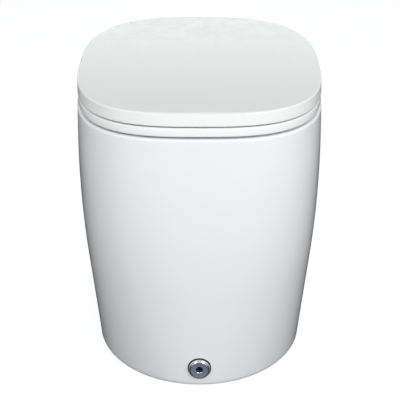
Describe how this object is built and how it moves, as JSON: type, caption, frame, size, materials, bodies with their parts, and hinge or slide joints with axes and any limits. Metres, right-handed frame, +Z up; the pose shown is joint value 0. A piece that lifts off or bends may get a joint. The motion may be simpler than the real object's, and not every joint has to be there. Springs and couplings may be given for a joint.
{
  "type": "one-piece toilet",
  "caption": "Tankless one-piece toilet with a tapered glazed body, slim hinged seat, full-length lid and a round foot button.",
  "frame": {"origin": "on the floor, under the middle of the overall length and width", "axes": "+Z up, -Y towards the front where the foot button is, +X towards the right-hand side of someone who faces the front"},
  "size_m": [0.4006, 0.685, 0.46],
  "materials": {
    "white_glaze": "smooth white vitreous china glaze",
    "white_gloss": "glossy white moulding",
    "polished_chrome": "mirror chrome plate",
    "satin_steel": "satin blue-grey metal",
    "dark_blue_lens": "glossy dark blue indicator lens",
    "dark_rubber": "black rubber",
    "pale_rubber": "pale soft rubber",
    "stainless_steel": "plain stainless steel",
    "brass": "machined brass",
    "grey_moulding": "matt grey moulding",
    "black_moulding": "matt black moulding",
    "white_pipe": "off-white pipe plastic",
    "coil_wrap": "brown coil wrapping"
  },
  "bodies": {
    "root": {"ceramic_body": "white_glaze", "ceramic_bowl": "white_glaze", "ceramic_trapway": "white_glaze", "service_tray": "grey_moulding", "service_cover": "white_gloss", "cover_screw_1": "stainless_steel", "cover_screw_2": "stainless_steel", "cover_screw_3": "stainless_steel", "cover_screw_4": "stainless_steel", "flush_manifold": "white_pipe", "rim_solenoid": "coil_wrap", "jet_solenoid": "coil_wrap", "rim_pipe": "white_pipe", "jet_pipe": "white_pipe", "water_inlet": "brass", "inlet_nut": "brass", "control_box": "black_moulding", "battery_box": "grey_moulding", "button_cable": "black_moulding", "cable_clip_1": "grey_moulding", "cable_clip_2": "grey_moulding", "cable_clip_3": "grey_moulding", "outlet_seal": "dark_rubber", "hinge_bracket_left": "polished_chrome", "hinge_bracket_right": "polished_chrome", "hinge_pin_left": "stainless_steel", "hinge_pin_right": "stainless_steel", "hinge_bolt_left": "stainless_steel", "hinge_bolt_right": "stainless_steel", "hinge_nut_left": "stainless_steel", "hinge_nut_right": "stainless_steel", "button_bezel": "polished_chrome", "button_gasket": "dark_rubber", "button_nut": "black_moulding", "button_switch": "black_moulding", "return_spring": "stainless_steel"},
    "seat": {"seat_plate": "white_gloss", "seat_bumper_1": "pale_rubber", "seat_bumper_2": "pale_rubber", "seat_bumper_3": "pale_rubber", "seat_bumper_4": "pale_rubber", "damper_left": "black_moulding"},
    "lid": {"lid_shell": "white_gloss", "lid_bumper_1": "pale_rubber", "lid_bumper_2": "pale_rubber", "lid_bumper_3": "pale_rubber", "lid_bumper_4": "pale_rubber", "damper_right": "black_moulding"},
    "button": {"button_cap": "satin_steel", "button_lens": "dark_blue_lens"}
  },
  "joints": [
    {"name": "seat_hinge", "type": "hinge", "parent": "root", "child": "seat", "pos_m": [0, 0.331, 0.442], "axis": [-1, 0, 0], "range_deg": [0, 92]},
    {"name": "lid_hinge", "type": "hinge", "parent": "seat", "child": "lid", "pos_m": [0, 0.331, 0.442], "axis": [-1, 0, 0], "range_deg": [0, 98]},
    {"name": "button_press", "type": "slide", "parent": "root", "child": "button", "axis": [0, 0.9887, 0.1497], "range_m": [0, 0.0025], "stiffness_N_per_m": 1200, "springref_m": -0.001, "deforming": ["return_spring"]}
  ]
}
